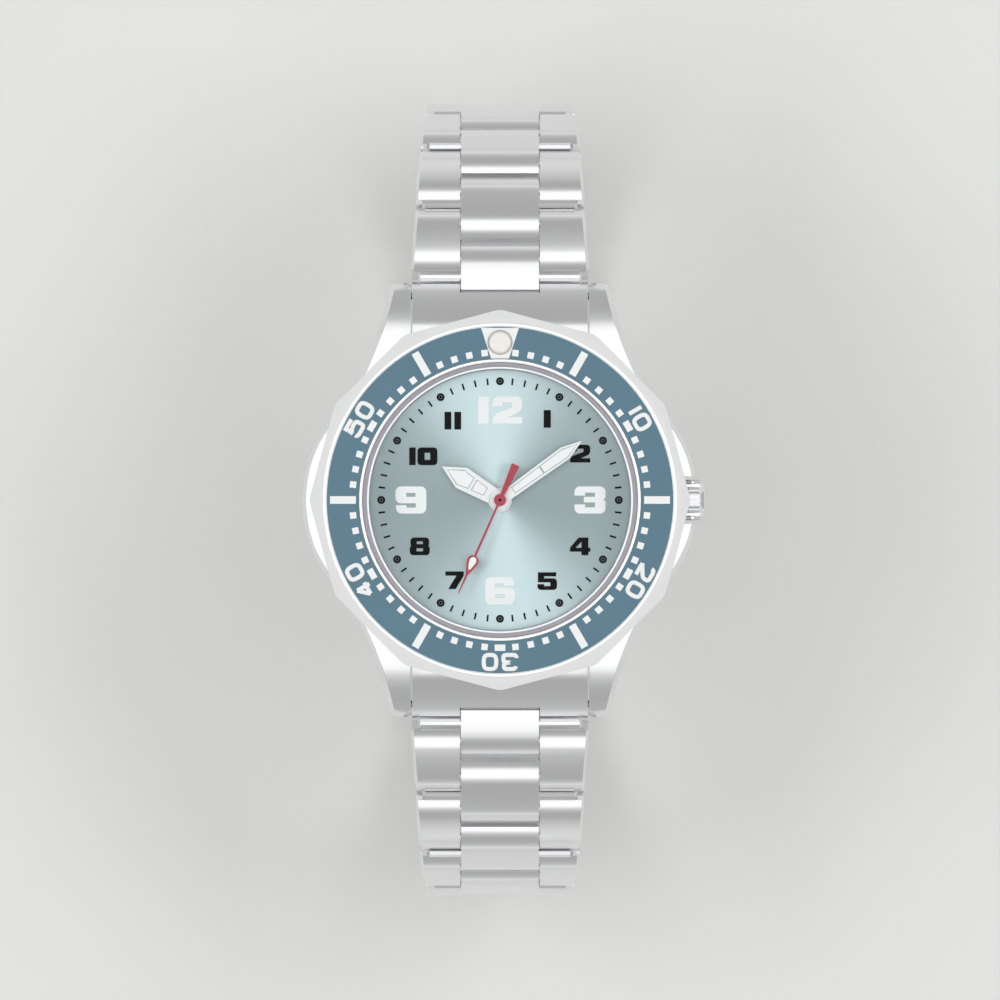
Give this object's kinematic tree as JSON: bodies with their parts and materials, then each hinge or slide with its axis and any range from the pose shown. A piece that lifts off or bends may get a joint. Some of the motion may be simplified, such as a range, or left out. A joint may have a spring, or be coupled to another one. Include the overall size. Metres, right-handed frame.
{
  "type": "diver-style wristwatch",
  "caption": "Round steel wristwatch with a faceted turning bezel, three hands, a crown and a three-row bracelet closed by a folding clasp.",
  "frame": {"origin": "centre of the case back's outer flat face, on the dial's axis", "axes": "+Z out through the dial, +Y towards 12 o'clock, +X towards the crown at 3 o'clock"},
  "size_m": [0.0453, 0.0894, 0.054],
  "materials": {
    "case_steel": "satin-brushed stainless steel",
    "end_link_steel": "satin-brushed stainless steel",
    "link_steel": "satin-brushed stainless steel",
    "outer_link_steel": "satin-brushed stainless steel with polished edges",
    "clasp_steel": "satin-brushed stainless steel",
    "case_back_steel": "satin-brushed stainless steel",
    "polished_steel": "polished stainless steel",
    "pin_steel": "plain drawn steel",
    "crystal_glass": "clear sapphire",
    "gasket_rubber": "black moulded rubber",
    "gasket_nylon": "natural moulded nylon",
    "chapter_paint": "satin lilac-grey lacquer",
    "dial_paint": "silver-blue sunburst lacquer",
    "holder_plastic": "natural moulded plastic",
    "movement_brass": "plated brass",
    "battery_steel": "nickel-plated steel",
    "insert_aluminium": "blue-grey anodised",
    "pip_plastic": "luminous pearl under clear resin",
    "hand_paint": "polished frame with white luminous fill",
    "second_hand_paint": "red lacquer"
  },
  "bodies": {
    "case": {"case_middle": "case_steel", "case_back": "case_back_steel", "case_back_gasket": "gasket_rubber", "crystal": "crystal_glass", "crystal_gasket": "gasket_nylon", "chapter_ring": "chapter_paint", "dial": "dial_paint", "movement_holder": "holder_plastic", "movement": "movement_brass", "battery": "battery_steel", "bezel_click_spring": "pin_steel", "crown_tube": "pin_steel", "end_link_12": "end_link_steel", "end_link_6": "end_link_steel", "lug_spring_bars": "pin_steel"},
    "bezel": {"bezel_ring": "polished_steel", "bezel_insert": "insert_aluminium", "bezel_pip": "pip_plastic"},
    "hour_hand": {"hour_hand": "hand_paint"},
    "minute_hand": {"minute_hand": "hand_paint"},
    "second_hand": {"second_hand": "second_hand_paint"},
    "crown_slide": {"crown_gasket": "gasket_rubber"},
    "crown": {"crown": "polished_steel", "crown_stem": "pin_steel"},
    "centre_link_12_1": {"centre_link_12_1": "link_steel"},
    "outer_links_12_1": {"outer_links_12_1": "outer_link_steel"},
    "centre_link_12_2": {"centre_link_12_2": "link_steel"},
    "outer_links_12_2": {"outer_links_12_2": "outer_link_steel"},
    "centre_link_12_3": {"centre_link_12_3": "link_steel"},
    "outer_links_12_3": {"outer_links_12_3": "outer_link_steel"},
    "centre_link_12_4": {"centre_link_12_4": "link_steel"},
    "outer_links_12_4": {"outer_links_12_4": "outer_link_steel"},
    "centre_link_12_5": {"centre_link_12_5": "link_steel"},
    "outer_links_12_5": {"outer_links_12_5": "outer_link_steel"},
    "centre_link_12_6": {"centre_link_12_6": "link_steel"},
    "outer_links_12_6": {"outer_links_12_6": "outer_link_steel"},
    "centre_link_12_7": {"centre_link_12_7": "link_steel"},
    "outer_links_12_7": {"outer_links_12_7": "outer_link_steel"},
    "centre_link_12_8": {"centre_link_12_8": "link_steel"},
    "centre_link_6_1": {"centre_link_6_1": "link_steel"},
    "outer_links_6_1": {"outer_links_6_1": "outer_link_steel"},
    "centre_link_6_2": {"centre_link_6_2": "link_steel"},
    "outer_links_6_2": {"outer_links_6_2": "outer_link_steel"},
    "centre_link_6_3": {"centre_link_6_3": "link_steel"},
    "outer_links_6_3": {"outer_links_6_3": "outer_link_steel"},
    "centre_link_6_4": {"centre_link_6_4": "link_steel"},
    "outer_links_6_4": {"outer_links_6_4": "outer_link_steel"},
    "centre_link_6_5": {"centre_link_6_5": "link_steel"},
    "outer_links_6_5": {"outer_links_6_5": "outer_link_steel"},
    "centre_link_6_6": {"centre_link_6_6": "link_steel"},
    "outer_links_6_6": {"outer_links_6_6": "outer_link_steel"},
    "centre_link_6_7": {"centre_link_6_7": "link_steel"},
    "outer_links_6_7": {"outer_links_6_7": "outer_link_steel"},
    "centre_link_6_8": {"centre_link_6_8": "link_steel", "clasp_spring_bar": "pin_steel"},
    "clasp_short_leaf": {"clasp_short_leaf": "clasp_steel"},
    "clasp_long_leaf": {"clasp_long_leaf": "clasp_steel"},
    "clasp_cover": {"clasp_cover": "clasp_steel"},
    "clasp_button_right": {"clasp_button_right": "polished_steel"},
    "clasp_button_left": {"clasp_button_left": "polished_steel"}
  },
  "joints": [
    {"name": "bezel_turn", "type": "hinge", "parent": "case", "child": "bezel", "pos_m": [0, 0, 0.0076], "axis": [0, 0, 1], "continuous": true},
    {"name": "second_hand_turn", "type": "hinge", "parent": "case", "child": "second_hand", "pos_m": [0, 0, 0.0061], "axis": [0, 0, -1], "continuous": true},
    {"name": "minute_hand_turn", "type": "hinge", "parent": "case", "child": "minute_hand", "pos_m": [0, 0, 0.00565], "axis": [0, 0, -1], "continuous": true},
    {"name": "hour_hand_turn", "type": "hinge", "parent": "case", "child": "hour_hand", "pos_m": [0, 0, 0.0052], "axis": [0, 0, -1], "continuous": true},
    {"name": "crown_pull", "type": "slide", "parent": "case", "child": "crown_slide", "axis": [1, 0, 0], "range_m": [0, 0.0008]},
    {"name": "crown_turn", "type": "hinge", "parent": "crown_slide", "child": "crown", "pos_m": [0.021, 0, 0.0031], "axis": [1, 0, 0], "continuous": true},
    {"name": "pin_12_1", "type": "hinge", "parent": "case", "child": "centre_link_12_1", "pos_m": [0, 0.0229, 0.002], "axis": [1, 0, 0], "range_deg": [0, 4]},
    {"name": "pin_12_2", "type": "hinge", "parent": "centre_link_12_1", "child": "outer_links_12_1", "pos_m": [0, 0.02704, 0.00169], "axis": [1, 0, 0], "range_deg": [0, 12]},
    {"name": "pin_12_3", "type": "hinge", "parent": "outer_links_12_1", "child": "centre_link_12_2", "pos_m": [0, 0.03102, 0.00052], "axis": [1, 0, 0], "range_deg": [0, 12]},
    {"name": "pin_12_4", "type": "hinge", "parent": "centre_link_12_2", "child": "outer_links_12_2", "pos_m": [0, 0.03468, -0.00144], "axis": [1, 0, 0], "range_deg": [0, 12]},
    {"name": "pin_12_5", "type": "hinge", "parent": "outer_links_12_2", "child": "centre_link_12_3", "pos_m": [0, 0.03784, -0.00413], "axis": [1, 0, 0], "range_deg": [0, 12]},
    {"name": "pin_12_6", "type": "hinge", "parent": "centre_link_12_3", "child": "outer_links_12_3", "pos_m": [0, 0.04038, -0.00741], "axis": [1, 0, 0], "range_deg": [0, 12]},
    {"name": "pin_12_7", "type": "hinge", "parent": "outer_links_12_3", "child": "centre_link_12_4", "pos_m": [0, 0.04218, -0.01115], "axis": [1, 0, 0], "range_deg": [0, 12]},
    {"name": "pin_12_8", "type": "hinge", "parent": "centre_link_12_4", "child": "outer_links_12_4", "pos_m": [0, 0.04316, -0.01518], "axis": [1, 0, 0], "range_deg": [0, 12]},
    {"name": "pin_12_9", "type": "hinge", "parent": "outer_links_12_4", "child": "centre_link_12_5", "pos_m": [0, 0.04328, -0.01933], "axis": [1, 0, 0], "range_deg": [0, 11]},
    {"name": "pin_12_10", "type": "hinge", "parent": "centre_link_12_5", "child": "outer_links_12_5", "pos_m": [0, 0.04261, -0.02343], "axis": [1, 0, 0], "range_deg": [0, 11]},
    {"name": "pin_12_11", "type": "hinge", "parent": "outer_links_12_5", "child": "centre_link_12_6", "pos_m": [0, 0.04117, -0.02732], "axis": [1, 0, 0], "range_deg": [0, 11]},
    {"name": "pin_12_12", "type": "hinge", "parent": "centre_link_12_6", "child": "outer_links_12_6", "pos_m": [0, 0.03902, -0.03086], "axis": [1, 0, 0], "range_deg": [0, 11]},
    {"name": "pin_12_13", "type": "hinge", "parent": "outer_links_12_6", "child": "centre_link_12_7", "pos_m": [0, 0.03622, -0.03393], "axis": [1, 0, 0], "range_deg": [0, 11]},
    {"name": "pin_12_14", "type": "hinge", "parent": "centre_link_12_7", "child": "outer_links_12_7", "pos_m": [0, 0.0329, -0.03641], "axis": [1, 0, 0], "range_deg": [0, 11]},
    {"name": "pin_12_15", "type": "hinge", "parent": "outer_links_12_7", "child": "centre_link_12_8", "pos_m": [0, 0.02916, -0.03821], "axis": [1, 0, 0], "range_deg": [0, 11]},
    {"name": "pin_6_1", "type": "hinge", "parent": "case", "child": "centre_link_6_1", "pos_m": [0, -0.0229, 0.002], "axis": [-1, 0, 0], "range_deg": [0, 4]},
    {"name": "pin_6_2", "type": "hinge", "parent": "centre_link_6_1", "child": "outer_links_6_1", "pos_m": [0, -0.02704, 0.00169], "axis": [-1, 0, 0], "range_deg": [0, 12]},
    {"name": "pin_6_3", "type": "hinge", "parent": "outer_links_6_1", "child": "centre_link_6_2", "pos_m": [0, -0.03102, 0.00052], "axis": [-1, 0, 0], "range_deg": [0, 12]},
    {"name": "pin_6_4", "type": "hinge", "parent": "centre_link_6_2", "child": "outer_links_6_2", "pos_m": [0, -0.03468, -0.00144], "axis": [-1, 0, 0], "range_deg": [0, 12]},
    {"name": "pin_6_5", "type": "hinge", "parent": "outer_links_6_2", "child": "centre_link_6_3", "pos_m": [0, -0.03784, -0.00413], "axis": [-1, 0, 0], "range_deg": [0, 12]},
    {"name": "pin_6_6", "type": "hinge", "parent": "centre_link_6_3", "child": "outer_links_6_3", "pos_m": [0, -0.04038, -0.00741], "axis": [-1, 0, 0], "range_deg": [0, 12]},
    {"name": "pin_6_7", "type": "hinge", "parent": "outer_links_6_3", "child": "centre_link_6_4", "pos_m": [0, -0.04218, -0.01115], "axis": [-1, 0, 0], "range_deg": [0, 12]},
    {"name": "pin_6_8", "type": "hinge", "parent": "centre_link_6_4", "child": "outer_links_6_4", "pos_m": [0, -0.04316, -0.01518], "axis": [-1, 0, 0], "range_deg": [0, 12]},
    {"name": "pin_6_9", "type": "hinge", "parent": "outer_links_6_4", "child": "centre_link_6_5", "pos_m": [0, -0.04328, -0.01933], "axis": [-1, 0, 0], "range_deg": [0, 11]},
    {"name": "pin_6_10", "type": "hinge", "parent": "centre_link_6_5", "child": "outer_links_6_5", "pos_m": [0, -0.04261, -0.02343], "axis": [-1, 0, 0], "range_deg": [0, 11]},
    {"name": "pin_6_11", "type": "hinge", "parent": "outer_links_6_5", "child": "centre_link_6_6", "pos_m": [0, -0.04117, -0.02732], "axis": [-1, 0, 0], "range_deg": [0, 11]},
    {"name": "pin_6_12", "type": "hinge", "parent": "centre_link_6_6", "child": "outer_links_6_6", "pos_m": [0, -0.03902, -0.03086], "axis": [-1, 0, 0], "range_deg": [0, 11]},
    {"name": "pin_6_13", "type": "hinge", "parent": "outer_links_6_6", "child": "centre_link_6_7", "pos_m": [0, -0.03622, -0.03393], "axis": [-1, 0, 0], "range_deg": [0, 11]},
    {"name": "pin_6_14", "type": "hinge", "parent": "centre_link_6_7", "child": "outer_links_6_7", "pos_m": [0, -0.0329, -0.03641], "axis": [-1, 0, 0], "range_deg": [0, 11]},
    {"name": "pin_6_15", "type": "hinge", "parent": "outer_links_6_7", "child": "centre_link_6_8", "pos_m": [0, -0.02916, -0.03821], "axis": [-1, 0, 0], "range_deg": [0, 11]},
    {"name": "clasp_fork", "type": "hinge", "parent": "centre_link_12_8", "child": "clasp_short_leaf", "pos_m": [0, 0.02514, -0.03927], "axis": [1, 0, 0], "range_deg": [0, 11]},
    {"name": "clasp_leaves", "type": "hinge", "parent": "clasp_short_leaf", "child": "clasp_long_leaf", "pos_m": [0, -0.01792, -0.04052], "axis": [-1, 0, 0], "range_deg": [0, 145]},
    {"name": "clasp_cover_hinge", "type": "hinge", "parent": "clasp_long_leaf", "child": "clasp_cover", "pos_m": [0, 0.01921, -0.04074], "axis": [1, 0, 0], "range_deg": [0, 105]},
    {"name": "clasp_button_right_push", "type": "slide", "parent": "clasp_cover", "child": "clasp_button_right", "axis": [-1, 0, 0], "range_m": [0, 0.0006], "stiffness_N_per_m": 800},
    {"name": "clasp_button_left_push", "type": "slide", "parent": "clasp_cover", "child": "clasp_button_left", "axis": [1, 0, 0], "range_m": [0, 0.0006], "stiffness_N_per_m": 800}
  ],
  "couplings": [
    {"joint": "minute_hand_turn", "follows": "second_hand_turn", "ratio": 0.016667},
    {"joint": "hour_hand_turn", "follows": "second_hand_turn", "ratio": 0.0013889}
  ]
}
